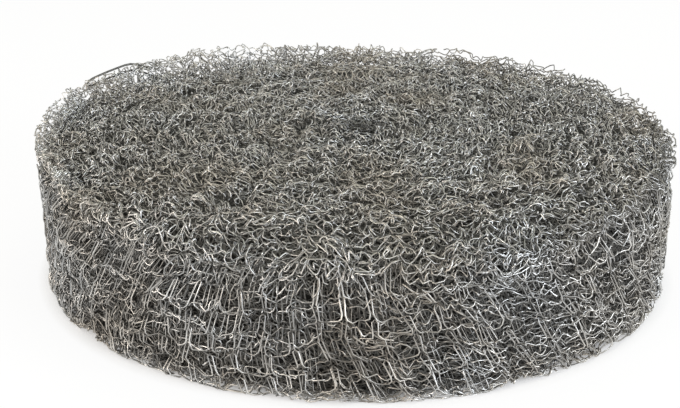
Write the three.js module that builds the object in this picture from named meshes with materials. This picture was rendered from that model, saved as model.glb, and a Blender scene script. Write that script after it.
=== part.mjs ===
// A roll of knitted stainless steel mesh ribbon, standing on its flat end.
// Sizes are millimetres. +Z is up, along the roll's axis, and the origin is the middle of its foot.

import * as THREE from 'three';

// Driving dimensions

const ROLL_DIAMETER = 170; // across the outer turn, measured at the ribbon's outer end
const RIBBON_WIDTH = 38; // the ribbon stands on its edge, so its width is the roll's height
const TURN_PITCH = 1.6; // how much the radius grows with each turn of the flattened tube
const EYE_DIAMETER = 5; // clear opening in the middle, where the winding starts
const SHOULDER_ROUND = 6; // soft round of the outer turns' upper edge
const FOOT_ROUND = 2; // soft round of the outer turn's lower edge
const EYE_ROUND = 1.2; // soft round of the eye's upper edge
const TOP_DISH = 2.5; // how far the middle of the winding sinks below the upper rim
const TAIL_LENGTH = 9; // length over which the ribbon's outer end thins out to nothing
const TAIL_AZIMUTH = 70; // degrees from +X to the ribbon's outer end, at the back of the roll

// Fineness of the facets

const FACETS_PER_TURN = 96;
const FACETS_PER_ROUND = 4;

// Colour of the steel wire seen as a mass, with the gaps between the loops

const STEEL_COLOR = 0x73716b;
const STEEL_ROUGHNESS = 0.45;
const STEEL_METALNESS = 1;

const outerRadius = ROLL_DIAMETER / 2;
const eyeRadius = EYE_DIAMETER / 2 + TURN_PITCH;
const fullTurn = 2 * Math.PI;

// Half of the winding cut through its axis: x is the radius and y is the height.
// It runs along the flat foot, up the outer turn, over the dished top and down the eye.
function windingSection() {
  const shoulderRadius = outerRadius - SHOULDER_ROUND;
  const shoulderHeight = RIBBON_WIDTH - SHOULDER_ROUND;
  const footRadius = outerRadius - FOOT_ROUND;
  const dishHeight = RIBBON_WIDTH - TOP_DISH;
  const lipRadius = eyeRadius + EYE_ROUND;

  const section = new THREE.Path();
  section.moveTo(eyeRadius, 0);
  section.lineTo(footRadius, 0);
  section.absarc(footRadius, FOOT_ROUND, FOOT_ROUND, -Math.PI / 2, 0, false);
  section.lineTo(outerRadius, shoulderHeight);
  section.absarc(shoulderRadius, shoulderHeight, SHOULDER_ROUND, 0, Math.PI / 2, false);
  section.bezierCurveTo(
    THREE.MathUtils.lerp(shoulderRadius, lipRadius, 1 / 3), RIBBON_WIDTH,
    THREE.MathUtils.lerp(shoulderRadius, lipRadius, 2 / 3), dishHeight,
    lipRadius, dishHeight,
  );
  section.absarc(lipRadius, dishHeight - EYE_ROUND, EYE_ROUND, Math.PI / 2, Math.PI, false);
  section.lineTo(eyeRadius, 0);
  return section.getPoints(FACETS_PER_ROUND);
}

// Angle from the ribbon's outer end, following the ribbon inwards, from 0 to one full turn.
function angleFromTail(x, y) {
  const tail = THREE.MathUtils.degToRad(TAIL_AZIMUTH);
  return THREE.MathUtils.euclideanModulo(Math.atan2(y, x) - tail, fullTurn);
}

// How far the winding lies inside its full radius at an angle from the outer end.
// It falls by one pitch in a turn, and the thinning tail carries it back out.
function spiralDrop(angle) {
  const tailAngle = TAIL_LENGTH / outerRadius;
  const tailStart = fullTurn - tailAngle;
  if (angle <= tailStart) {
    return TURN_PITCH * (angle / tailStart);
  }
  return TURN_PITCH * ((fullTurn - angle) / tailAngle);
}

// Draws each point of a round body in towards the axis, so that its outline becomes one turn of a spiral.
function woundToSpiral(geometry) {
  const position = geometry.attributes.position;
  for (let i = 0; i < position.count; i += 1) {
    const x = position.getX(i);
    const y = position.getY(i);
    const radius = Math.hypot(x, y);
    const share = (radius - spiralDrop(angleFromTail(x, y))) / radius;
    position.setXY(i, x * share, y * share);
  }
  return geometry;
}

// Brings the middle of the roll's footprint onto the Z axis.
function centredOnFoot(geometry) {
  geometry.computeBoundingBox();
  const middle = geometry.boundingBox.getCenter(new THREE.Vector3());
  return geometry.translate(-middle.x, -middle.y, 0);
}

function meshRoll() {
  const drum = new THREE.LatheGeometry(windingSection(), FACETS_PER_TURN);
  drum.rotateX(Math.PI / 2);
  const geometry = centredOnFoot(woundToSpiral(drum));
  geometry.computeVertexNormals();
  const material = new THREE.MeshStandardMaterial({
    color: STEEL_COLOR,
    roughness: STEEL_ROUGHNESS,
    metalness: STEEL_METALNESS,
  });
  const mesh = new THREE.Mesh(geometry, material);
  mesh.name = 'mesh_roll';
  return mesh;
}

const roll = new THREE.Group();
roll.add(meshRoll());

export default roll;
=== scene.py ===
"""The looks of a roll of knitted stainless steel mesh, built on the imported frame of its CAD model.

Sizes are metres. The roll stands on its end, with its axis along +Z and its foot at Z = 0.
"""

import logging
import math
from dataclasses import dataclass, field, replace
from typing import Iterable, Iterator

import bmesh
import bpy
import numpy as np
from bpy.types import ID, Material, Mesh, Node, NodeSocket, NodeTree, Object
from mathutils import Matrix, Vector


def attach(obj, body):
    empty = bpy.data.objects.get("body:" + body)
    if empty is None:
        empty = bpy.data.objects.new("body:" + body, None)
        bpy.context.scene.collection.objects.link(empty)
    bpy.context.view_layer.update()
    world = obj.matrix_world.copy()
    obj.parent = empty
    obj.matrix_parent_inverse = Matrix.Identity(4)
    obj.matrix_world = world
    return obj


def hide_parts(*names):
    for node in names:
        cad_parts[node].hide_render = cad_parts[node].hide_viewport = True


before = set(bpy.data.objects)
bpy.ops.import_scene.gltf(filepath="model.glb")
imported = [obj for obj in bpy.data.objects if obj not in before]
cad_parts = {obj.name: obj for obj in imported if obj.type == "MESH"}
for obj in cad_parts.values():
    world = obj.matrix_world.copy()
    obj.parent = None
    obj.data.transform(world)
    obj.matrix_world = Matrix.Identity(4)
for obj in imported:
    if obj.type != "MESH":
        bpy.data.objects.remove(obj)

LOG = logging.getLogger("mesh_roll")
MM = 0.001
TURN = 2 * math.pi
ROLL_NODE = "mesh_roll"
ROLL_BODY = "root"
BAKE_MAP = "OFBake"
# name of the wires' attribute of painted light and shade, which is multiplied into their colour
PAINTED_LIGHT_NAME = "light"
FEWEST_BENDS = 3  # a shorter run of wire is left out
SEED_HEIGHT = 0.01 * MM  # finest step in height that changes the random draws
GOLDEN_STEP = 0.618  # keeps neighbouring wires' ends apart
MERGE_DISTANCE = 1e-6
HALF_LOOP = (0.1, 0.28, 0.36, 0.43)  # bends of half a loop from its crown, in shares of a loop
WHOLE_LOOP = (-0.5, *(-bend for bend in reversed(HALF_LOOP)), 0.0, *HALF_LOOP)

Array = np.ndarray
Draws = np.random.Generator
Pair = tuple[float, float]
Triple = tuple[float, float, float]
Wires = list[Array]  # rows of X, Y, Z and painted light along each wire


def smooth(share: Array) -> Array:
    """Eases shares in and out between 0 and 1."""
    return share**2 * (3 - 2 * share)


def stagger(k: int) -> float:
    """A share from 0 to 1 that jumps from each number to the next."""
    return GOLDEN_STEP * k % 1


def turned(first: Array, second: Array, angle: Array) -> tuple[Array, Array]:
    """Turns points in a plane, given by two coordinates, by angles."""
    cosine, sine = np.cos(angle), np.sin(angle)
    return first * cosine - second * sine, first * sine + second * cosine


def placed(name: str, data: ID) -> Object:
    """Puts an object with some data into the scene.

    Args:
        name: the object's name.
        data: its mesh, curve, lamp or lens.

    Returns:
        The object.
    """
    thing = bpy.data.objects.new(name, data)
    bpy.context.scene.collection.objects.link(thing)
    return thing


def feed(tree: NodeTree, node: Node, inputs: dict) -> None:
    """Sets some inputs of a node.

    Args:
        tree: the tree that the node is in.
        node: the node.
        inputs: a value, or an output of another node, for each input by name or number.
    """
    for name, value in inputs.items():
        if isinstance(value, NodeSocket):
            tree.links.new(value, node.inputs[name])
        else:
            node.inputs[name].default_value = value


def add(tree: NodeTree, kind: str, inputs: dict | None = None, **settings: object) -> Node:
    """Adds a node to a tree.

    Args:
        tree: the tree.
        kind: the node's type, after ShaderNode.
        inputs: what goes into its inputs, as for feed.
        settings: its other settings by name.

    Returns:
        The node.
    """
    node = tree.nodes.new("ShaderNode" + kind)
    for name, setting in settings.items():
        setattr(node, name, setting)
    feed(tree, node, inputs or {})
    return node


@dataclass(frozen=True)
class SteelFinish:
    """A steel finish of two tones."""

    name: str
    bright: Triple  # colour of the clean steel
    dull: Triple  # colour of the other tone
    gloss_and_painted_glint: Pair  # roughness of both
    drift: float  # size of the patches of tone

    def bare(self) -> Material:
        """Makes a plain metal of the finish's name.

        Returns:
            The material.
        """
        material = bpy.data.materials.new(self.name)
        material.use_nodes = True
        material.node_tree.nodes["Principled BSDF"].inputs["Metallic"].default_value = 1.0
        return material


@dataclass(frozen=True)
class WireFinish(SteelFinish):
    """The finish of the single wires, whose two tones drift into each other and are darkened or lifted by
    the painted light and shade stored on the wires.
    """

    detail: float = 4.0  # finer sizes of patches
    grain: float = 0.6  # how strong they are
    edge: Pair = (0.38, 0.62)  # where the clean tone ends and the dull one is full

    def tone_group(self) -> NodeTree:
        """Builds the node group that drifts between two tones and multiplies them by the painted light
        and shade stored on the wires.

        Returns:
            The group.
        """
        group = bpy.data.node_groups.new("steel_tone", "ShaderNodeTree")
        for side, kind, names in (
            ("INPUT", "NodeSocketColor", ("Bright", "Dull")),
            ("INPUT", "NodeSocketFloat", ("Scale", "Clean Roughness", "Dull Roughness")),
            ("OUTPUT", "NodeSocketColor", ("Color",)),
            ("OUTPUT", "NodeSocketFloat", ("Roughness",)),
        ):
            for name in names:
                group.interface.new_socket(name, in_out=side, socket_type=kind)
        given = group.nodes.new("NodeGroupInput").outputs
        place = add(group, "TexCoord")
        patches = add(group, "TexNoise", {
            "Vector": place.outputs["Object"], "Scale": given["Scale"],
            "Detail": self.detail, "Roughness": self.grain})
        clean, full = self.edge
        share = add(group, "MapRange", {
            "Value": patches.outputs["Fac"], "From Min": clean, "From Max": full}).outputs["Result"]
        tone = add(group, "Mix", {
            "Factor": share, "A": given["Bright"], "B": given["Dull"]}, data_type="RGBA")
        gloss_and_painted_glint = add(group, "Mix", {
            "Factor": share, "A": given["Clean Roughness"], "B": given["Dull Roughness"]})
        # painted light and shade: each wire's stored brightness darkens or lifts the steel's colour
        light = add(group, "Attribute", attribute_name=PAINTED_LIGHT_NAME)
        shade = add(group, "VectorMath", {
            0: tone.outputs["Result"], "Scale": light.outputs["Fac"]}, operation="SCALE")
        feed(group, group.nodes.new("NodeGroupOutput"), {
            "Color": shade.outputs["Vector"], "Roughness": gloss_and_painted_glint.outputs["Result"]})
        return group

    def material(self) -> Material:
        """Makes the wires' material.

        Returns:
            The material.
        """
        material = self.bare()
        tree = material.node_tree
        drift = add(tree, "Group", {
            "Bright": (*self.bright, 1), "Dull": (*self.dull, 1), "Scale": 1 / self.drift,
            "Clean Roughness": self.gloss_and_painted_glint[0], "Dull Roughness": self.gloss_and_painted_glint[1],
        }, node_tree=self.tone_group())
        feed(tree, tree.nodes["Principled BSDF"], {
            "Base Color": drift.outputs["Color"], "Roughness": drift.outputs["Roughness"]})
        return material


@dataclass(frozen=True)
class TangleFinish(SteelFinish):
    """The finish of wires too deep to see one by one: crossing lines of steel over dark gaps, all painted
    dark for the shade deep in the roll.
    """

    meshes: Pair = (1.0, 1.7)  # sizes of the two sets of gaps, against the drift
    line: Pair = (0.05, 0.12)  # where the lines fade out, in shares of a gap
    relief: float = 0.3 * MM  # of the lines

    def material(self) -> Material:
        """Makes the material.

        Returns:
            The material.
        """
        material = self.bare()
        tree = material.node_tree
        place = add(tree, "TexCoord").outputs["Object"]
        lines = []
        near, far = self.line
        for size in self.meshes:
            cells = add(tree, "TexVoronoi", {
                "Vector": place, "Scale": 1 / (self.drift * size)}, feature="DISTANCE_TO_EDGE")
            line = add(tree, "MapRange", {
                "Value": cells.outputs["Distance"], "From Min": near / size, "From Max": far / size,
                "To Min": 1.0, "To Max": 0.0}, interpolation_type="SMOOTHSTEP")
            lines.append(line.outputs["Result"])
        either = add(tree, "Math", dict(enumerate(lines)), operation="MAXIMUM").outputs["Value"]
        color = add(tree, "Mix", {
            "Factor": either, "A": (*self.dull, 1), "B": (*self.bright, 1)}, data_type="RGBA")
        bump = add(tree, "Bump", {"Distance": self.relief, "Height": either})
        feed(tree, tree.nodes["Principled BSDF"], {
            "Base Color": color.outputs["Result"], "Normal": bump.outputs["Normal"],
            "Roughness": self.gloss_and_painted_glint[1]})
        return material


@dataclass(frozen=True)
class Crumple:
    """A smooth random shift of points, made of sine waves in many directions."""

    length: float  # of the waves, as a mean
    reach: float  # root mean square of the shift
    seed: int
    waves: int = 16
    spread: Pair = (0.6, 1.6)  # shortest and longest, against the mean

    def shift(self, points: Array) -> Array:
        """Works out the shift of each point.

        Args:
            points: rows of three coordinates.

        Returns:
            Rows of three shifts.
        """
        draw = np.random.default_rng(self.seed)
        heading = draw.normal(size=(self.waves, 3))
        heading /= np.linalg.norm(heading, axis=1, keepdims=True)
        wavelength = self.length * draw.uniform(*self.spread, size=(self.waves, 1))
        phase = draw.uniform(0, TURN, size=(self.waves, 3))
        swing = draw.normal(size=(self.waves, 3)) * self.reach * math.sqrt(2 / self.waves)
        total = np.zeros_like(points)
        for k in range(self.waves):
            along = points @ (heading[k] * TURN / wavelength[k])
            total += swing[k] * np.sin(along[:, None] + phase[k])
        return total


@dataclass
class Winding:
    """The spiral that the ribbon follows, from its outer end inwards."""

    height: float = 38 * MM  # of the roll, and so the ribbon's width
    outer_radius: float = 85 * MM  # at the ribbon's outer end
    turn_pitch: float = 1.6 * MM  # drop in radius for each turn
    eye_radius: float = 3.4 * MM
    dish: float = 0.8 * MM  # how far the middle of the top sinks
    tail_azimuth: float = math.radians(70)  # of the ribbon's outer end
    axis: Pair = (0.405 * MM, -0.405 * MM)

    @property
    def turns(self) -> float:
        """Number of turns from the outer end to the eye."""
        return (self.outer_radius - self.eye_radius) / self.turn_pitch

    def length_at(self, turn: float) -> float:
        """Length of ribbon from the outer end to a count of turns."""
        return TURN * turn * (self.outer_radius - self.turn_pitch * turn / 2)

    def angle_at(self, length: Array) -> Array:
        """Angle from the outer end to each length of ribbon."""
        radius = np.sqrt(np.maximum(self.outer_radius**2 - length * self.turn_pitch / math.pi, 0))
        return TURN * (self.outer_radius - radius) / self.turn_pitch

    def top_at(self, radius: Array) -> Array:
        """Height of the dished top at each radius."""
        share = np.clip(radius / self.outer_radius, 0, 1)
        return self.height - self.dish * (1 - smooth(share))

    def outside_at(self, azimuth: Array) -> Array:
        """Radius of the outermost turn at each azimuth."""
        angle = np.mod(azimuth - self.tail_azimuth, TURN)
        return self.outer_radius - self.turn_pitch * angle / TURN

    def from_axis(self, points: Array) -> tuple[Array, Array]:
        """Distances of points from the roll's axis along X and along Y."""
        return points[:, 0] - self.axis[0], points[:, 1] - self.axis[1]

    def place(self, ribbon: Array) -> Array:
        """Winds points of the flat ribbon onto the spiral.

        Args:
            ribbon: rows of length from the outer end, height, and distance out of the turn.

        Returns:
            Rows of X, Y and Z.
        """
        angle = self.angle_at(ribbon[:, 0])
        radius = self.outer_radius - self.turn_pitch * angle / TURN + ribbon[:, 2]
        azimuth = self.tail_azimuth + angle
        x = self.axis[0] + radius * np.cos(azimuth)
        y = self.axis[1] + radius * np.sin(azimuth)
        return np.column_stack((x, y, ribbon[:, 1]))


@dataclass(frozen=True)
class Stitch:
    """One loop of the plain knit."""

    pitch: float  # from loop to loop along the ribbon
    rise: float
    leg_gap: float  # between the two legs, halfway up
    bulge: float  # how much wider the head is than the neck
    lift: float = 0.6 * MM  # of the legs, in front of the heads

    def bends(self) -> Array:
        """The wire of one loop, from the middle of one low arc to just before the next.

        Returns:
            Rows of distance along the ribbon, across it and out of it.
        """
        turn = TURN * np.array(WHOLE_LOOP)
        pull = self.pitch / 4 - self.leg_gap / 2
        along = self.pitch * turn / TURN - pull * np.sin(turn) + self.bulge * np.sin(2 * turn)
        return np.column_stack((along, self.rise / 2 * np.cos(turn), -self.lift * np.cos(2 * turn)))

    @staticmethod
    def painted_leg_light(crown: float, rung: float) -> Array:
        """Painted light on each bend: 1 on the legs, and as given on the crowns and between the legs."""
        shown = (crown, 0.5 + 0.5 * crown, 1, 1, rung)
        return np.interp(np.abs(WHOLE_LOOP), (0.0, *HALF_LOOP), shown)


@dataclass
class FlatTube:
    """The cross-section of the flattened knitted tube, standing on its lower fold."""

    height: float = 38 * MM  # from fold to fold
    fold: float = 0.8 * MM  # radius of the folds
    tuck: float = 0.5  # how far past level the lower fold may turn

    @property
    def half_girth(self) -> float:
        """Length of knit from the upper fold to the lower one."""
        return self.height - 2 * self.fold + math.pi * self.fold

    def wrap(self, girth: Array, out: Array) -> tuple[Array, Array]:
        """Lays the knit round the section.

        Args:
            girth: distance from the crest of the upper fold, positive down the outer layer.
            out: distance out of the knit.

        Returns:
            The heights, and the distances out from the middle of the tube.
        """
        side = np.where(girth < 0, -1.0, 1.0)
        down = np.abs(girth)
        bend = math.pi / 2 * self.fold
        straight = self.height - 2 * self.fold
        over = np.clip(down / self.fold, 0, math.pi / 2)
        under = np.clip((down - bend - straight) / self.fold, 0, math.pi / 2 + self.tuck)
        tilt = over + under
        drop = np.clip(down - bend, 0, straight)
        z = self.height - self.fold - drop + (self.fold + out) * np.cos(tilt)
        x = side * (self.fold + out) * np.sin(tilt)
        return z, x


@dataclass
class Outline:
    """The outline that the wound wires are crumpled and pressed into, and the shade painted on them
    inside it.
    """

    winding: Winding
    rim_drop: Pair = (-1.6 * MM, 5.5 * MM)  # drop of the rim at the back and the front
    brim: Pair = (0.4 * MM, 1.3 * MM)  # rise of it at the back left and back right
    rim_reach: float = 12 * MM  # inwards from the outside
    rim_limit: float = 1.2  # how far that goes on past the outside
    flare: float = 0.5 * MM  # how far the wall leans out at its upper edge
    belly: float = 0.8 * MM  # and at its foot
    foot_round: float = 1.5 * MM
    clearance: float = 0.2 * MM  # of the wires' middles above the floor
    sag: Crumple = Crumple(18 * MM, 0.5 * MM, seed=11)  # slow crumple of whole turns
    sag_axes: Triple = (1.0, 1.0, 0.5)  # share of it along each axis
    crushes: tuple[Crumple, ...] = (  # quick crumples, which double at the upper edge
        Crumple(7 * MM, 0.2 * MM, seed=12), Crumple(3.6 * MM, 0.1 * MM, seed=13))
    crush_depth: float = 6 * MM  # over which that falls off
    give: Pair = (0.4, 0.3)  # shares left of what reaches past the top and the outside
    fade: float = 3.8 * MM  # depth over which the painted light fades
    dusk: float = 0.47  # share of it left deep in the roll, as painted shade
    eye_dark: float = 0.8  # share of the light that the eye lacks, as painted shade
    eye_reach: float = 6.5 * MM  # distance over which that painted shade falls off

    def outness(self, radius: Array) -> Array:
        """How much each radius shares in the shape of the rim: 1 at the ribbon's outer end."""
        inside = radius - self.winding.outer_radius + self.rim_reach
        return np.clip(inside / self.rim_reach, 0, self.rim_limit) ** 2

    def crown(self, x: Array, y: Array) -> Array:
        """Height of the roll's top.

        Args:
            x: distances from the roll's axis along X.
            y: distances from it along Y.

        Returns:
            The height at each.
        """
        radius = np.maximum(np.hypot(x, y), self.winding.eye_radius)
        aside, behind = x / radius, y / radius
        brim = np.where(x < 0, *self.brim) * 2 * np.abs(aside) * np.maximum(behind, 0)
        back, front = self.rim_drop
        drop = back + (front - back) * (0.5 - 0.5 * behind) ** 2
        return self.winding.top_at(radius) + (brim - drop) * self.outness(radius)

    def outside(self, x: Array, y: Array, z: Array) -> Array:
        """Radius of the roll's outside in the direction of each point, at its height."""
        foot = np.clip(1 - z / self.foot_round, 0, 1) ** 2
        return self.winding.outside_at(np.arctan2(y, x)) + self.leaning(z) - self.foot_round * foot

    def leaning(self, z: Array) -> Array:
        """How far the outermost turns lean out at each height."""
        share = z / self.winding.height
        return self.flare * share**2 + self.belly * (1 - share) ** 2

    def settle(self, points: Array) -> Array:
        """Crumples wound points, and presses them into the roll's outline.

        Args:
            points: rows of X, Y and Z.

        Returns:
            The rows of pressed points.
        """
        winding = self.winding
        crushed = 1 + np.exp(-((points[:, 2:] - winding.height) / self.crush_depth) ** 2)
        points = points + self.sag.shift(points) * self.sag_axes
        for crush in self.crushes:
            points += crush.shift(points) * crushed
        x, y = winding.from_axis(points)
        crown = self.crown(x, y)
        up, out = self.give
        z = points[:, 2] * crown / winding.height
        z = np.where(z > crown, crown + up * (z - crown), z)
        radius = np.hypot(x, y)
        outside = self.outside(x, y, z)
        leant = radius + self.leaning(z) * self.outness(radius)
        share = np.where(leant > outside, outside + out * (leant - outside), leant) / radius
        z = np.maximum(z, self.clearance)
        return np.column_stack((winding.axis[0] + x * share, winding.axis[1] + y * share, z))

    def light(self, points: Array) -> Array:
        """Painted shade: the share of the light that reaches points through the turns around them, for
        the wires' colour.

        Args:
            points: rows of X, Y and Z.

        Returns:
            The share at each point.
        """
        x, y = self.winding.from_axis(points)
        z = points[:, 2]
        behind = self.outside(x, y, z) - np.hypot(x, y)
        depth = np.minimum(np.minimum(behind, self.crown(x, y) - z), z)
        # painted shade: darker in the eye and deeper in the roll
        eye = 1 - self.eye_dark * np.exp(-((x**2 + y**2) / self.eye_reach**2))
        return eye * (self.dusk + (1 - self.dusk) * np.exp(-np.maximum(depth, 0) / self.fade))


@dataclass
class InnerTurns:
    """The turns too deep to see into, as one body behind the wires, painted dim for the shade deep in the
    roll.
    """

    winding: Winding
    side_depth: float = 4.6 * MM  # behind the outer turn
    top_depth: float = 4.5 * MM  # below the top
    foot_depth: float = 1.0 * MM  # above the foot
    shoulder: float = 6.0 * MM  # slope round its upper edge
    facets: int = 128

    @property
    def radius(self) -> float:
        """Radius of the body."""
        return self.winding.outer_radius - self.side_depth

    @property
    def top(self) -> float:
        """Height of the body's flat top."""
        return self.winding.height - self.top_depth

    def clears(self, points: Array) -> Array:
        """Finds the points that lie outside the body.

        Args:
            points: rows that start with X, Y and Z.

        Returns:
            Whether each point does.
        """
        radius = np.hypot(*self.winding.from_axis(points))
        z = points[:, 2]
        sloped = radius + z > self.radius + self.top - self.shoulder
        return (radius > self.radius) | (z < self.foot_depth) | (z > self.top) | sloped

    def build(self) -> Object:
        """Spins the body's section round the roll's axis.

        Returns:
            The mesh object.
        """
        eye, low = self.winding.eye_radius, self.foot_depth
        section = ((eye, low), (self.radius, low), (self.radius, self.top - self.shoulder),
                   (self.radius - self.shoulder, self.top), (eye, self.top))
        shape = bmesh.new()
        corners = [shape.verts.new((r, 0, z)) for r, z in section]
        edges = [shape.edges.new((corners[k - 1], corners[k])) for k in range(len(corners))]
        bmesh.ops.spin(shape, geom=corners + edges, cent=(0, 0, 0), axis=(0, 0, 1), angle=TURN,
                       steps=self.facets, use_merge=True)
        bmesh.ops.remove_doubles(shape, verts=shape.verts, dist=MERGE_DISTANCE)
        bmesh.ops.recalc_face_normals(shape, faces=shape.faces)
        bmesh.ops.translate(shape, verts=shape.verts, vec=(*self.winding.axis, 0))
        mesh = bpy.data.meshes.new("inner_turns")
        shape.to_mesh(mesh)
        shape.free()
        return placed("inner_turns", mesh)


@dataclass
class KnittedRibbon:
    """The flattened knitted tube, wound up."""

    outline: Outline
    core: InnerTurns
    tube: FlatTube = field(default_factory=FlatTube)
    rows: int = 14  # of loops round the tube
    left: Stitch = Stitch(pitch=5.6 * MM, rise=6.5 * MM, leg_gap=1.1 * MM, bulge=0.7 * MM)
    right: Stitch = Stitch(pitch=8.8 * MM, rise=6.6 * MM, leg_gap=1.0 * MM, bulge=0.85 * MM)
    lean_left: Pair = (-0.15, 1.3)  # lean of the columns at the foot, and what is added upwards
    lean_right: Pair = (-0.6, 0.1)  # the same on the right
    lean_gain: float = 1.2  # how soon it changes over to the right
    drawn_turns: float = 4.0  # outer turns that lean
    stray: Triple = (0.25 * MM, 0.45 * MM, 0.25 * MM)  # of loops along, across and out of the ribbon
    jitter: float = 0.06 * MM  # of single bends
    sway: Pair = (0.06, 0.15)  # swing of the loops sideways and outwards
    tumble: float = 0.7  # turning of the loops at the upper fold
    tumble_reach: float = 4 * MM
    twist: Triple = (3 * MM, 120 * MM, 1.618)  # reach and length of the rows' wander, and a second length
    inner_shift: float = 0.4  # of the inner layer along the ribbon, in pitches
    crushed: float = 3.4 * MM  # from the upper fold to the first whole loops
    crushed_spread: Pair = (0.7, 1.3)  # smallest and largest share of that
    gloss_and_painted_glint: Pair = (0.84, 1.45)  # painted glints: light from the dimmest to the brightest loops
    rarity: int = 3  # how rare brightly painted loops are, as a power
    inner: float = 0.45  # painted shade: light that the inner layer lacks on the right
    arcs_left: Pair = (0.35, 0.55)  # painted light on the crowns, and on the rungs between the legs
    arcs_right: Pair = (0.3, 1.15)  # the same on the right
    seed: int = 7

    @property
    def winding(self) -> Winding:
        """The spiral that it follows."""
        return self.outline.winding

    def rightness(self, length: Array) -> Array:
        """How far to the roll's right each length of ribbon lies, from 0 to 1."""
        azimuth = self.winding.tail_azimuth + self.winding.angle_at(length)
        return 0.5 + 0.5 * np.cos(azimuth)

    def outerness(self, length: Array) -> Array:
        """How much each length of ribbon is shaped as the outermost turns are, from 0 to 1."""
        depth = self.winding.angle_at(length) / (TURN * self.drawn_turns)
        return np.exp(-depth**2)

    def lean(self, length: Array, z: Array) -> Array:
        """Shift along the ribbon that makes the columns of loops lean.

        Args:
            length: lengths of ribbon.
            z: heights on it.

        Returns:
            The shift at each.
        """
        right = smooth(np.clip(self.lean_gain * self.rightness(length), 0, 1))
        both = zip(self.lean_left, self.lean_right)
        foot, more = ((1 - right) * on_left + right * on_right for on_left, on_right in both)
        return (foot + more * z / (2 * self.winding.height)) * z * self.outerness(length)

    def columns(self, start: float, end: float) -> Array:
        """Counts out the columns of loops.

        Args:
            start: length of ribbon where they start.
            end: length where they end.

        Returns:
            The length of ribbon at the middle of each column.
        """
        fine = np.arange(start, end, MM)
        pitch = self.left.pitch + (self.right.pitch - self.left.pitch) * self.rightness(fine)
        count = np.cumsum(MM / pitch)
        return np.interp(np.arange(1, int(count[-1])), count, fine)

    def shaken(self, loops: Array, tumble: Array, draw: Draws) -> Array:
        """Swings and shifts every loop at random.

        Args:
            loops: the bends of each loop, by row, column and bend.
            tumble: how far each loop is turned over, as a spread of angles.
            draw: the random draws.

        Returns:
            The shaken bends.
        """
        each = (*loops.shape[:2], 1)
        roll = draw.normal(size=each) * (self.sway[0] + tumble)
        tilt = draw.normal(size=each) * (self.sway[1] + tumble)
        along, across, out = np.moveaxis(loops, -1, 0)
        along, across = turned(along, across, roll)
        across, out = turned(across, out, tilt)
        shaken = np.stack((along, across, out), axis=-1)
        shaken += draw.normal(scale=self.jitter, size=loops.shape)
        return shaken + draw.normal(size=(*each, 3)) * self.stray

    def painted_light(self, right: Array, inside: Array, draw: Draws) -> Array:
        """Draws the painted light of the loops: random glints, light along each loop, and shade on the
        inner layer.

        Args:
            right: how far to the roll's right each column lies.
            inside: whether each bend lies in the inner layer.
            draw: the random draws.

        Returns:
            The painted light of each bend.
        """
        dimmest, brightest = self.gloss_and_painted_glint
        loops = dimmest + (brightest - dimmest) * draw.uniform(size=(*inside.shape[:2], 1)) ** self.rarity
        open_knit = right**2
        dull, bright = Stitch.painted_leg_light(*self.arcs_left), Stitch.painted_leg_light(*self.arcs_right)
        bends = dull + open_knit * (bright - dull)
        return loops * bends * np.where(inside, 1 - open_knit * self.inner, 1)

    def wires(self, first: float, last: float) -> Wires:
        """The wires of some turns, without the crushed upper fold and what lies inside the core.

        Args:
            first: count of turns where the stretch starts.
            last: count of turns where it ends.

        Returns:
            The wires.
        """
        start, end = self.winding.length_at(first), self.winding.length_at(last)
        draw = np.random.default_rng((self.seed, int(start / MM)))
        middle = self.columns(start, end)
        right = self.rightness(middle)[:, None]
        loop = (1 - right[..., None]) * self.left.bends() + right[..., None] * self.right.bends()
        girth = 2 * self.tube.half_girth
        reach, period, ratio = self.twist
        slow, slower = (np.sin(TURN * middle / period), np.sin(TURN * middle / (ratio * period) + 1))
        wander = reach * slow + reach * slower
        home = np.arange(self.rows)[:, None] * girth / self.rows + wander
        from_fold = np.mod(home + girth / 2, girth) - girth / 2
        tumble = self.tumble * np.exp(-(from_fold / self.tumble_reach) ** 2)[:, :, None]
        loop = self.shaken(np.broadcast_to(loop, (self.rows, *loop.shape)), tumble, draw)
        across = home[:, :, None] - loop[..., 1]
        crest = np.mod(across + girth / 2, girth) - girth / 2
        z, x = self.tube.wrap(crest, loop[..., 2])
        pitch = np.gradient(middle)[:, None]
        length = middle[:, None] + loop[..., 0] + np.where(crest < 0, self.inner_shift * pitch, 0)
        length = length + self.lean(length, z)
        ribbon = np.stack((length, z, x - self.winding.turn_pitch / 2), axis=-1).reshape(-1, 3)
        points = self.outline.settle(self.winding.place(ribbon))
        whole = np.abs(crest) > self.crushed * draw.uniform(*self.crushed_spread, size=(*home.shape, 1))
        # painted glints and shade for each bend
        painted_light = self.painted_light(right, crest < 0, draw)
        wires = np.column_stack((points, painted_light.ravel())).reshape(self.rows, -1, 4)
        shown = zip(wires, whole.reshape(self.rows, -1))
        return [run for wire, shows in shown for run in shown_runs(wire, shows & self.core.clears(wire))]


def shown_runs(wire: Array, shows: Array) -> Wires:
    """Cuts one wire into the runs that are shown.

    Args:
        wire: the wire.
        shows: which of the points are shown.

    Returns:
        Each run that is long enough to see.
    """
    edges = np.flatnonzero(np.diff(shows.astype(int))) + 1
    stays = zip(np.split(wire, edges), np.split(shows, edges))
    return [run for run, stay in stays if stay[0] and len(run) >= FEWEST_BENDS]


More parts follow.
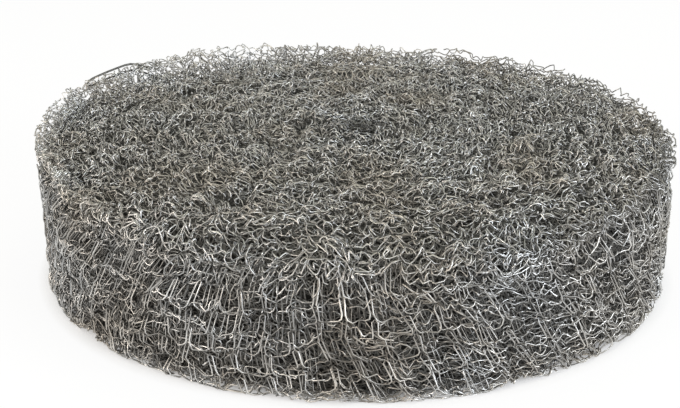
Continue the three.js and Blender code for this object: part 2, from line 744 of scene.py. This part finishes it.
@dataclass
class CrushedCurls:
    """Loops of the knit, crushed out of shape where the ribbon is folded or pressed."""

    outline: Outline
    pitch: float = 2.3 * MM  # from curl to curl along the ribbon
    radius: Pair = (0.6 * MM, 1.35 * MM)  # smallest and largest
    drawn: Triple = (1.0, 1.0, 1.0)  # stretch along the ribbon, across it and out of it
    gloss_and_painted_glint: Pair = (0.64, 1.22)  # painted glints: light of the dimmest to the brightest curls
    unevenness: Pair = (0.4 * MM, 12 * MM)  # of the ribbon's height, and in what length it changes
    wander: Pair = (0.4 * MM, 10 * MM)  # how far the wire strays in and out, and in what length
    bends: int = 7  # in one curl
    seed: int = 21

    def wire(self, first: float, last: float, height: float, slack: float = 1.0,
             stands: float = 0.0) -> Array:
        """One curly wire that runs along the ribbon.

        Args:
            first: count of turns where it starts.
            last: count of turns where it ends.
            height: height that it keeps to on the ribbon.
            slack: how much further apart than usual its curls are.
            stands: how far it stands out above the roll's top, halfway along.

        Returns:
            The wire.
        """
        winding = self.outline.winding
        start, end = winding.length_at(first), winding.length_at(last)
        pitch = self.pitch * slack
        curls = int((end - start) / pitch)
        draw = np.random.default_rng((self.seed, int(start / MM), int(height / SEED_HEIGHT)))
        share = np.arange(curls * self.bends) / self.bends
        wave = TURN * share[:, None]
        ahead, aside = (self.swept(axes, share) for axes in self.axes(curls + 1, draw))
        curl = (ahead * np.cos(wave) + aside * np.sin(wave)) * self.drawn
        middle = start + (share + 0.5) * pitch
        up, out = (self.strays(middle - start, *how, draw) for how in (self.unevenness, self.wander))
        line = np.column_stack((middle, height + up, out - winding.turn_pitch / 2))
        points = self.outline.settle(winding.place(line + curl))
        points[:, 2] += stands * np.sin(math.pi * share / curls)
        # painted glints: random light from curl to curl
        painted_light = np.interp(share, np.arange(curls + 1), draw.uniform(*self.gloss_and_painted_glint, size=curls + 1))
        return np.column_stack((points, painted_light))

    def folds(self, folds: Iterable[tuple[float, ...]]) -> Wires:
        """Wires given as for wire, but by their drop below the ribbon's upper edge."""
        rim = self.outline.winding.height
        return [self.wire(first, last, rim - drop, *more) for first, last, drop, *more in folds]

    def rows(self, first: float, last: float, heights: Array, late: float = 0.0,
             long: float = 0.0) -> Wires:
        """Wires at some heights, starting up to some turns late and running up to some turns long."""
        return [self.wire(first + late * stagger(k), last + long * stagger(k), height)
                for k, height in enumerate(heights)]

    def axes(self, count: int, draw: Draws) -> tuple[Array, Array]:
        """Draws two radii at right angles for each curl.

        Args:
            count: number of curls.
            draw: the random draws.

        Returns:
            Rows of the first radii, and of the second.
        """
        first, second = draw.normal(size=(2, count, 3))
        second = np.cross(first, second)
        radius = draw.uniform(*self.radius, size=(2, count, 1))
        lengths = (np.linalg.norm(axes, axis=1, keepdims=True) for axes in (first, second))
        return tuple(axes * size / length for axes, size, length in zip((first, second), radius, lengths))

    @staticmethod
    def strays(length: Array, spread: float, period: float, draw: Draws) -> Array:
        """A random shift at each length, drawn anew in every period."""
        bumps = draw.normal(scale=spread, size=int(length[-1] / period) + 3)
        return np.interp(length / period, np.arange(len(bumps)), bumps)

    @staticmethod
    def swept(axes: Array, share: Array) -> Array:
        """Blends the radii from each curl to the next."""
        return np.column_stack([np.interp(share, np.arange(len(axes)), column) for column in axes.T])


@dataclass
class StrayLoop:
    """One long loop of wire pulled out of the outer turn's upper edge, at the back left."""

    winding: Winding
    azimuths: Pair = (math.radians(141), math.radians(161))  # where it starts and where it turns
    heights: Pair = (41.6 * MM, 40.4 * MM)
    inset: float = 0.5 * MM  # inside the roll's outer radius
    gap: float = 2.4 * MM  # between its two legs
    bluntness: float = 0.6  # power that blunts its far end
    crossing: float = 7.0  # how quickly it crosses over there
    sink: Triple = (4 * MM, 0.35, 1.6)  # dip of its ends, over what share of it, and as what power
    # painted shade: the loop's share of light
    brightness: float = 0.42
    bends: int = 32

    def wire(self) -> Array:
        """Lays out the loop.

        Returns:
            The wire.
        """
        share = 0.5 - 0.5 * np.cos(np.linspace(0, math.pi, self.bends))
        away = np.sin(math.pi * share) ** self.bluntness
        azimuth = np.interp(away, (0, 1), self.azimuths)
        dip, end, power = self.sink
        sunk = dip * np.clip(1 - away / end, 0, 1) ** power
        leg = self.gap / 2 * np.clip(self.crossing * (0.5 - share), -1, 1)
        z = np.interp(away, (0, 1), self.heights) - sunk + leg
        radius = self.winding.outer_radius - self.inset
        painted_light = np.full(self.bends, self.brightness)
        return np.column_stack((radius * np.cos(azimuth), radius * np.sin(azimuth), z, painted_light))


@dataclass
class WireWork:
    """Turns runs of points into thin wire."""

    # outline: gives the painted shade stored on the wires
    outline: Outline
    diameter: float = 0.32 * MM
    levels: tuple[float, ...] = (0.1, 0.9, 0.5)  # of each corner across a row of the map
    end_spread: float = 0.3  # between the corners of closed ends, in bends

    @property
    def sides(self) -> int:
        """Number of flats round the wire."""
        return len(self.levels)

    def section(self) -> Object:
        """Draws the outline that is swept along the wire.

        Returns:
            The curve object.
        """
        curve = bpy.data.curves.new("wire_section", "CURVE")
        ring = curve.splines.new("POLY")
        ring.points.add(self.sides - 1)
        # The flats are set so that the section looks as wide on average as a round wire.
        reach = self.diameter * math.pi / (2 * self.sides * math.sin(math.pi / self.sides))
        for k, point in enumerate(ring.points):
            angle = TURN * k / self.sides
            point.co = (reach * math.cos(angle), reach * math.sin(angle), 0, 1)
        ring.use_cyclic_u = True
        return placed("wire_section", curve)

    def sweep(self, name: str, runs: Wires) -> Mesh:
        """Sweeps the section along many wires.

        Args:
            name: the mesh's name.
            runs: the wires.

        Returns:
            The mesh of the wires.
        """
        path = bpy.data.curves.new(name, "CURVE")
        path.dimensions = "3D"
        path.bevel_mode = "OBJECT"
        path.bevel_object = self.section()
        path.use_fill_caps = True
        for run in runs:
            spline = path.splines.new("POLY")
            spline.points.add(len(run) - 1)
            spline.points.foreach_set("co", np.column_stack((run[:, :3], np.ones(len(run)))).ravel())
        holder = placed(name, path)
        graph = bpy.context.evaluated_depsgraph_get()
        mesh = bpy.data.meshes.new_from_object(holder.evaluated_get(graph))
        mesh.name = name
        for spare in (path.bevel_object, holder):
            curve = spare.data
            bpy.data.objects.remove(spare)
            bpy.data.curves.remove(curve)
        mesh.polygons.foreach_set("use_smooth", np.ones(len(mesh.polygons), dtype=bool))
        return mesh

    def piece(self, name: str, runs: Wires) -> Object:
        """Makes one object of many wires.

        Args:
            name: the piece's name.
            runs: the wires.

        Returns:
            The mesh object.
        """
        mesh = self.sweep(name, runs)
        painted_light = np.concatenate([run[:, 3] for run in runs])
        order = self.bend_order([len(run) for run in runs])
        points = np.empty(len(mesh.vertices) * 3)
        mesh.vertices.foreach_get("co", points)
        # stores painted light and shade on the wire: the depth shade times each bend's painted glint
        light = mesh.attributes.new(PAINTED_LIGHT_NAME, "FLOAT", "POINT")
        light.data.foreach_set("value", self.outline.light(points.reshape(-1, 3)) * painted_light[order])
        self.lay_flat(mesh, order, len(painted_light))
        return placed(name, mesh)

    def bend_order(self, counts: list[int]) -> Array:
        """Finds the bend that each vertex belongs to, counted through all the wires.

        Args:
            counts: number of bends in each wire.

        Returns:
            The bend of each vertex.
        """
        after = np.cumsum(counts)
        first = after - counts
        # The sweep puts the wires' closed ends first, from the last wire to the first.
        ends = np.column_stack((after - 1, first))[::-1].ravel()
        return np.repeat(np.concatenate((ends, np.arange(after[-1]))), self.sides)

    def lay_flat(self, mesh: Mesh, order: Array, bends: int) -> None:
        """Lays the wires end to end, in rows, on the map for their colours.

        Args:
            mesh: the swept wires.
            order: the bend that each vertex belongs to.
            bends: number of bends in all the wires.
        """
        corner = np.empty(len(mesh.loops), dtype=np.int32)
        mesh.loops.foreach_get("vertex_index", corner)
        start = np.empty(len(mesh.polygons), dtype=np.int32)
        mesh.polygons.foreach_get("loop_start", start)
        columns = math.ceil(math.sqrt(bends))
        along = order[corner]
        corners = np.diff(start, append=len(corner))
        row = np.repeat(np.minimum.reduceat(along, start) // columns, corners)
        side = corner % self.sides
        # A closed end lies within one bend, so its corners are spread over the next stretch.
        closed = corner < len(order) - self.sides * bends
        across = (along - row * columns + self.end_spread * side * closed) / columns
        up = (row + np.array(self.levels)[side]) / columns
        while mesh.uv_layers:
            mesh.uv_layers.remove(mesh.uv_layers[0])
        layer = mesh.uv_layers.new(name=BAKE_MAP)
        layer.data.foreach_set("uv", np.column_stack((across, up)).ravel())


@dataclass
class MeshRoll:
    """The whole roll: wires over one body painted dark as shade."""

    winding: Winding = field(default_factory=Winding)
    wire_finish: WireFinish = WireFinish(
        "knitted_steel_wire", bright=(0.63, 0.63, 0.615), dull=(0.535, 0.505, 0.455),
        gloss_and_painted_glint=(0.34, 0.48), drift=24 * MM)
    # painted shade: the inner turns' steel gets tones far darker than the wires' for the shade deep in
    # the roll
    painted_shade_finish: TangleFinish = TangleFinish(
        "steel_in_painted_shade", bright=(0.18, 0.176, 0.163), dull=(0.028, 0.027, 0.025),
        gloss_and_painted_glint=(0.5, 0.6), drift=1.3 * MM)
    side_stretch: float = 1.5  # turns in each piece of its side
    side_top: float = 33 * MM  # up to where wires lie over the side
    top_stretches: tuple[float, ...] = (2.2, 10.0, 22.0)  # where the pieces of its top start

    def __post_init__(self) -> None:
        """Sets up what the pieces share."""
        self.outline = Outline(self.winding)
        self.core = InnerTurns(self.winding)
        self.curls = CrushedCurls(self.outline)
        # gloss ranges here set the painted glints of each kind of curl
        self.wavy = replace(
            self.curls, pitch=3.4 * MM, radius=(0.8 * MM, 1.7 * MM), drawn=(0.4, 0.5, 0.7),
            gloss_and_painted_glint=(0.65, 1.3), unevenness=(0.8 * MM, 8 * MM), bends=6)

    def side_turns(self) -> Iterator[tuple[str, Wires]]:
        """Yields the name and the knitted loops of each stretch of the outer turns."""
        ribbon = KnittedRibbon(self.outline, self.core)
        for number, first in enumerate((0.0, self.side_stretch), start=1):
            yield f"side_turns_{number}", ribbon.wires(first, first + self.side_stretch)

    def side_curls(self) -> Wires:
        """Wavy wires deep behind the side, and flat curls over its left.

        Returns:
            The wires.
        """
        flat = replace(self.curls, drawn=(1.1, 0.8, 0.7), unevenness=(1.0 * MM, 8 * MM))
        deep = self.wavy.rows(2.0, 3.0, np.arange(1.5 * MM, self.side_top, 1.4 * MM))
        return deep + flat.rows(0.2, 0.38, np.arange(2 * MM, self.side_top, 1.9 * MM), long=0.2)

    def shoulder_folds(self) -> Wires:
        """The crushed folds on the outer turns' upper edges, and the wavy rungs below them on the right.

        Returns:
            The wires.
        """
        # gloss ranges here set the painted glints and shade of each kind of curl
        wide = replace(
            self.curls, pitch=3.4 * MM, radius=(0.8 * MM, 1.8 * MM), gloss_and_painted_glint=(0.6, 1.2),
            unevenness=(0.8 * MM, 30 * MM), bends=10)
        ragged = replace(
            self.curls, pitch=2.8 * MM, radius=(0.8 * MM, 1.7 * MM), drawn=(0.8, 1.5, 0.6),
            gloss_and_painted_glint=(0.6, 1.25), unevenness=(1.2 * MM, 9 * MM), bends=8)
        combed = replace(self.wavy, gloss_and_painted_glint=(0.45, 0.9), unevenness=(0.7 * MM, 14 * MM))
        front = ((0.42, 0.61, 1.4 * MM), (0.45, 0.64, 3.2 * MM))
        back_left = ((0.0, 0.3, 1.4 * MM), (0.0, 0.27, 3.2 * MM))
        left = ((0.46, 0.9 * MM), (0.42, 2.1 * MM), (0.47, 3.3 * MM))
        wires = wide.folds(
            (turn + first, turn + last, drop)
            for part in (front, back_left) for turn in (0, 1) for first, last, drop in part)
        wires += self.curls.folds(
            (turn + first, turn + last, drop)
            for turn, first in ((0, 0.26), (1, 0.26), (2, 0)) for last, drop in left)
        rim_rows = self.winding.height - np.arange(0.8 * MM, 4.5 * MM, 0.9 * MM)
        for turn in (0, 1):
            wires += combed.rows(turn + 0.57, turn + 1.0, rim_rows, late=0.07)
        torn = ((0.41, 0.68, 5.2 * MM), (0.45, 0.65, 7.8 * MM, 1.3),
                (0.48, 0.62, 10.8 * MM, 1.8), (1.4, 1.7, 5.2 * MM))
        wires += ragged.folds(torn)
        return wires + self.wavy.rows(0.52, 1.0, np.arange(3 * MM, self.side_top, 1.7 * MM), late=0.1)

    def loose_edge(self) -> Wires:
        """The lace of loose curls that stands up at the back left.

        Returns:
            The wires.
        """
        airy = replace(self.curls, pitch=2.7 * MM, radius=(0.7 * MM, 1.5 * MM), bends=8)
        reach, slack = 0.26, 1.0
        lace = ((0.04, 0.3 * MM, 2.0 * MM), (0.04, 1.2 * MM, 1.4 * MM), (0.15, 0.2 * MM, 2.6 * MM),
                (0.18, 0.8 * MM, 2.0 * MM), (1.04, 0.5 * MM, 1.6 * MM), (1.04, 1.0 * MM, 0.8 * MM))
        return airy.folds((first, first + reach, drop, slack, stands) for first, drop, stands in lace)

    def upper_folds(self) -> Iterator[tuple[str, Wires]]:
        """Yields the name and the crushed folds of each stretch of the roll's top."""
        ends = (*self.top_stretches[1:], self.winding.turns)
        for number, (first, last) in enumerate(zip(self.top_stretches, ends), start=1):
            folds = ((first, last, 1.4 * MM), (first, last, 3.2 * MM, 1.3))
            yield f"upper_folds_{number}", self.curls.folds(folds)

    def lower_folds(self) -> Wires:
        """The crushed folds that the roll stands on."""
        under = self.curls.wire(0.2, self.winding.turns, 0.9 * MM, slack=2.4)
        return [under, self.curls.wire(0.0, 1.6, 1.6 * MM)]

    def stray_loop(self) -> Wires:
        """The two strands of the stray loop."""
        outer = StrayLoop(self.winding)
        return [outer.wire(), replace(outer, gap=1.7 * MM).wire()]

    def wires(self) -> Iterator[tuple[str, Wires]]:
        """Yields the name and the wires of each piece."""
        yield from self.side_turns()
        for make in (self.side_curls, self.shoulder_folds, self.loose_edge):
            yield make.__name__, make()
        yield from self.upper_folds()
        for make in (self.lower_folds, self.stray_loop):
            yield make.__name__, make()

    def pieces(self) -> Iterator[Object]:
        """Builds every piece, dresses it and yields it."""
        wire_steel, painted_shade_steel = self.wire_finish.material(), self.painted_shade_finish.material()
        work = WireWork(self.outline)
        for name, wires in self.wires():
            yield self.dressed(work.piece(name, wires), wire_steel)
        yield self.dressed(self.core.build(), painted_shade_steel)

    @staticmethod
    def dressed(piece: Object, material: Material) -> Object:
        """Gives a piece its finish and lets it stand for the CAD roll.

        Args:
            piece: the piece.
            material: its finish.

        Returns:
            The same piece.
        """
        piece.data.materials.clear()
        piece.data.materials.append(material)
        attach(piece, ROLL_BODY)
        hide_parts(ROLL_NODE)
        return piece


@dataclass(frozen=True)
class Lamp:
    """A square soft light that faces the roll."""

    name: str
    place: Triple
    size: float
    power: float  # in watts
    color: Triple

    def hang(self) -> None:
        """Puts the lamp into the scene."""
        light = bpy.data.lights.new(self.name, "AREA")
        light.size = self.size
        light.energy = self.power
        light.color = self.color
        lamp = placed(self.name, light)
        lamp.location = self.place
        lamp.rotation_euler = (-Vector(self.place)).to_track_quat("-Z", "Y").to_euler()


@dataclass
class Studio:
    """The pale floor, the soft light and the camera."""

    picture_width: float = 680.0  # in pixels
    focal: float = 1080.0  # in pixels
    sensor: float = 36.0  # in millimetres
    clip: Pair = (0.01, 20.0)  # nearest and furthest that is seen
    stand_off: float = 284.7 * MM  # from the axis to the camera
    camera_height: float = 122.8 * MM
    pitch: float = math.radians(21.06)  # looking down
    yaw: float = math.radians(0.85)  # looking left
    floor_size: float = 4.0  # half of its side
    floor_tone: Pair = (0.9, 0.9)  # grey and roughness
    floor_glow: float = 0.9  # share of the open floor that is plain white
    floor_edge: Pair = (80 * MM, 88 * MM)  # distances where the floor opens
    sky_tint: Triple = (1.0, 1.0, 0.96)
    sky_strength: float = 0.57
    lamps: tuple[Lamp, ...] = (
        Lamp("key_light", (-0.8, -0.75, 0.35), size=0.6, power=8.7, color=(1.0, 0.91, 0.84)),
        Lamp("right_light", (0.9, -0.55, 0.35), size=0.6, power=10.2, color=(0.94, 1.0, 1.1)),
        Lamp("top_light", (0.1, 0.1, 0.9), size=0.7, power=2.5, color=(0.98, 1.0, 0.84)),
    )

    def camera(self) -> None:
        """Places the camera at the photograph's viewing angle."""
        lens = bpy.data.cameras.new("camera")
        lens.sensor_width = self.sensor
        lens.lens = self.focal / self.picture_width * lens.sensor_width
        lens.clip_start, lens.clip_end = self.clip
        camera = placed("camera", lens)
        camera.location = (0, -self.stand_off, self.camera_height)
        camera.rotation_euler = (math.pi / 2 - self.pitch, 0, self.yaw)
        bpy.context.scene.camera = camera

    def floor(self) -> None:
        """Lays a white floor that keeps a soft shadow."""
        shape = bmesh.new()
        bmesh.ops.create_grid(shape, x_segments=1, y_segments=1, size=self.floor_size)
        mesh = bpy.data.meshes.new("floor")
        shape.to_mesh(mesh)
        shape.free()
        mesh.materials.append(self.floor_material())
        floor = placed("floor", mesh)

    def floor_material(self) -> Material:
        """Makes the floor's material: matt, and nearly plain white where it is open.

        Returns:
            The material.
        """
        material = bpy.data.materials.new("white_floor")
        material.use_nodes = True
        tree = material.node_tree
        grey, roughness = self.floor_tone
        matt = tree.nodes["Principled BSDF"]
        feed(tree, matt, {"Base Color": (grey, grey, grey, 1), "Roughness": roughness})
        glow = add(tree, "Emission", {"Strength": 1.0})
        ray = add(tree, "LightPath").outputs
        seen = add(tree, "Math", {
            0: ray["Is Camera Ray"], 1: ray["Is Glossy Ray"]}, operation="MAXIMUM")
        place = add(tree, "TexCoord")
        away = add(tree, "VectorMath", {0: place.outputs["Object"]}, operation="LENGTH")
        near, far = self.floor_edge
        clear = add(tree, "MapRange", {
            "Value": away.outputs["Value"], "From Min": near, "From Max": far, "To Max": self.floor_glow})
        share = add(tree, "Math", {
            0: seen.outputs[0], 1: clear.outputs["Result"]}, operation="MULTIPLY")
        mix = add(tree, "MixShader", {
            "Fac": share.outputs[0], 1: matt.outputs["BSDF"], 2: glow.outputs["Emission"]})
        feed(tree, tree.nodes["Material Output"], {"Surface": mix.outputs["Shader"]})
        return material

    def sky(self) -> None:
        """Fills the surroundings with soft light, white to the camera."""
        world = bpy.data.worlds.new("white_room")
        bpy.context.scene.world = world
        world.use_nodes = True
        tree = world.node_tree
        fill = tree.nodes["Background"]
        feed(tree, fill, {"Color": (*self.sky_tint, 1), "Strength": self.sky_strength})
        white = add(tree, "Background", {"Color": (1, 1, 1, 1), "Strength": 1.0})
        ray = add(tree, "LightPath")
        mix = add(tree, "MixShader", {
            "Fac": ray.outputs["Is Camera Ray"],
            1: fill.outputs["Background"],
            2: white.outputs["Background"]})
        feed(tree, tree.nodes["World Output"], {"Surface": mix.outputs["Shader"]})

    def build(self) -> None:
        """Sets up the whole studio."""
        self.camera()
        self.floor()
        self.sky()
        for lamp in self.lamps:
            lamp.hang()
        bpy.context.scene.view_settings.view_transform = "Standard"


def main() -> None:
    """Builds the studio and the roll."""
    logging.basicConfig(level=logging.INFO, format="%(name)s %(message)s")
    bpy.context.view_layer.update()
    Studio().build()
    for piece in MeshRoll().pieces():
        piece.data.calc_loop_triangles()
        LOG.info("%s: %d triangles", piece.name, len(piece.data.loop_triangles))


if __name__ == "__main__":
    main()
